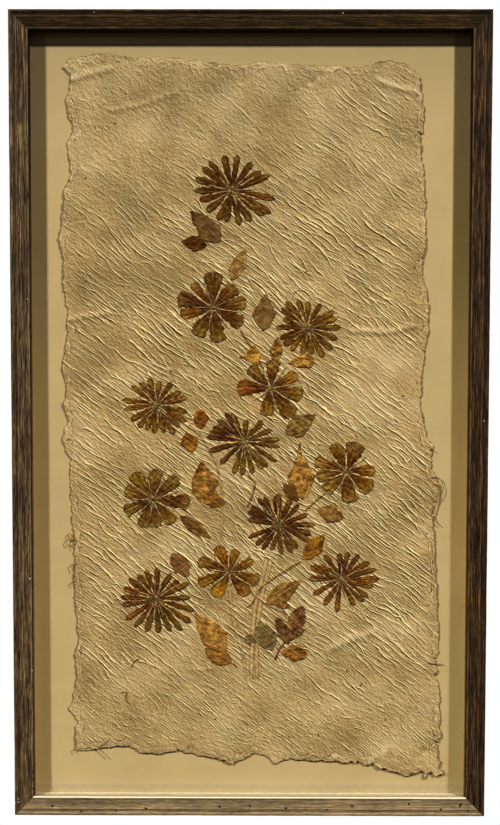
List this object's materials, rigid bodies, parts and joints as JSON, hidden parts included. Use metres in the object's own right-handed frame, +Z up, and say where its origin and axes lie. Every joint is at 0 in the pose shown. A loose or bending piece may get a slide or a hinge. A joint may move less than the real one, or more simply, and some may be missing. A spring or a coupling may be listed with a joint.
{
  "type": "pressed flower frame",
  "caption": "Glazed wooden wall frame that displays pressed flowers, leaves and stems on crinkled handmade paper.",
  "frame": {"origin": "the middle notch of the sawtooth hanger, where it rests on the wall nail, in the plane of the rails' backs", "axes": "+Z up along the frame's height, -Y out of the front of the picture, +X to the right as seen from the front"},
  "size_m": [0.406, 0.0324, 0.686],
  "materials": {
    "rail_wood": "weathered brown stain, dull wax, fine grain",
    "glazing": "clear sheet",
    "cream_board": "matte cream paper board",
    "hardboard": "bare brown hardboard",
    "point_steel": "dull plated steel",
    "hanger_brass": "brass plated, slightly tarnished",
    "handmade_paper": "thin tan handmade paper, crinkled, matte",
    "narrow_petals": "dried brown petals, matte",
    "broad_petals": "dried golden brown petals, matte",
    "dry_leaf": "dried golden brown leaf, matte",
    "dry_stem": "dried pale stem, matte"
  },
  "bodies": {
    "root": {"rail_top": "rail_wood", "rail_right": "rail_wood", "rail_bottom": "rail_wood", "rail_left": "rail_wood", "glazing": "glazing", "spacer_top": "cream_board", "spacer_right": "cream_board", "spacer_bottom": "cream_board", "spacer_left": "cream_board", "mount_board": "cream_board", "back_panel": "hardboard", "point_top": "point_steel", "point_bottom": "point_steel", "point_left_upper": "point_steel", "point_left_lower": "point_steel", "point_right_upper": "point_steel", "point_right_lower": "point_steel", "sawtooth_hanger": "hanger_brass", "handmade_paper": "handmade_paper", "daisy_1": "narrow_petals", "daisy_2": "narrow_petals", "daisy_3": "narrow_petals", "daisy_4": "narrow_petals", "daisy_5": "narrow_petals", "daisy_6": "narrow_petals", "daisy_7": "narrow_petals", "broad_flower_1": "broad_petals", "broad_flower_2": "broad_petals", "broad_flower_3": "broad_petals", "broad_flower_4": "broad_petals", "broad_flower_5": "broad_petals", "leaf_01": "dry_leaf", "leaf_02": "dry_leaf", "leaf_03": "dry_leaf", "leaf_04": "dry_leaf", "leaf_05": "dry_leaf", "leaf_06": "dry_leaf", "leaf_07": "dry_leaf", "leaf_08": "dry_leaf", "leaf_09": "dry_leaf", "leaf_10": "dry_leaf", "leaf_11": "dry_leaf", "leaf_12": "dry_leaf", "leaf_13": "dry_leaf", "leaf_14": "dry_leaf", "leaf_15": "dry_leaf", "leaf_16": "dry_leaf", "leaf_17": "dry_leaf", "leaf_18": "dry_leaf", "leaf_19": "dry_leaf", "leaf_20": "dry_leaf", "leaf_21": "dry_leaf", "stem_1": "dry_stem", "stem_2": "dry_stem", "stem_3": "dry_stem", "stem_4": "dry_stem", "stem_5": "dry_stem", "stem_6": "dry_stem", "stem_7": "dry_stem"}
  },
  "joints": []
}
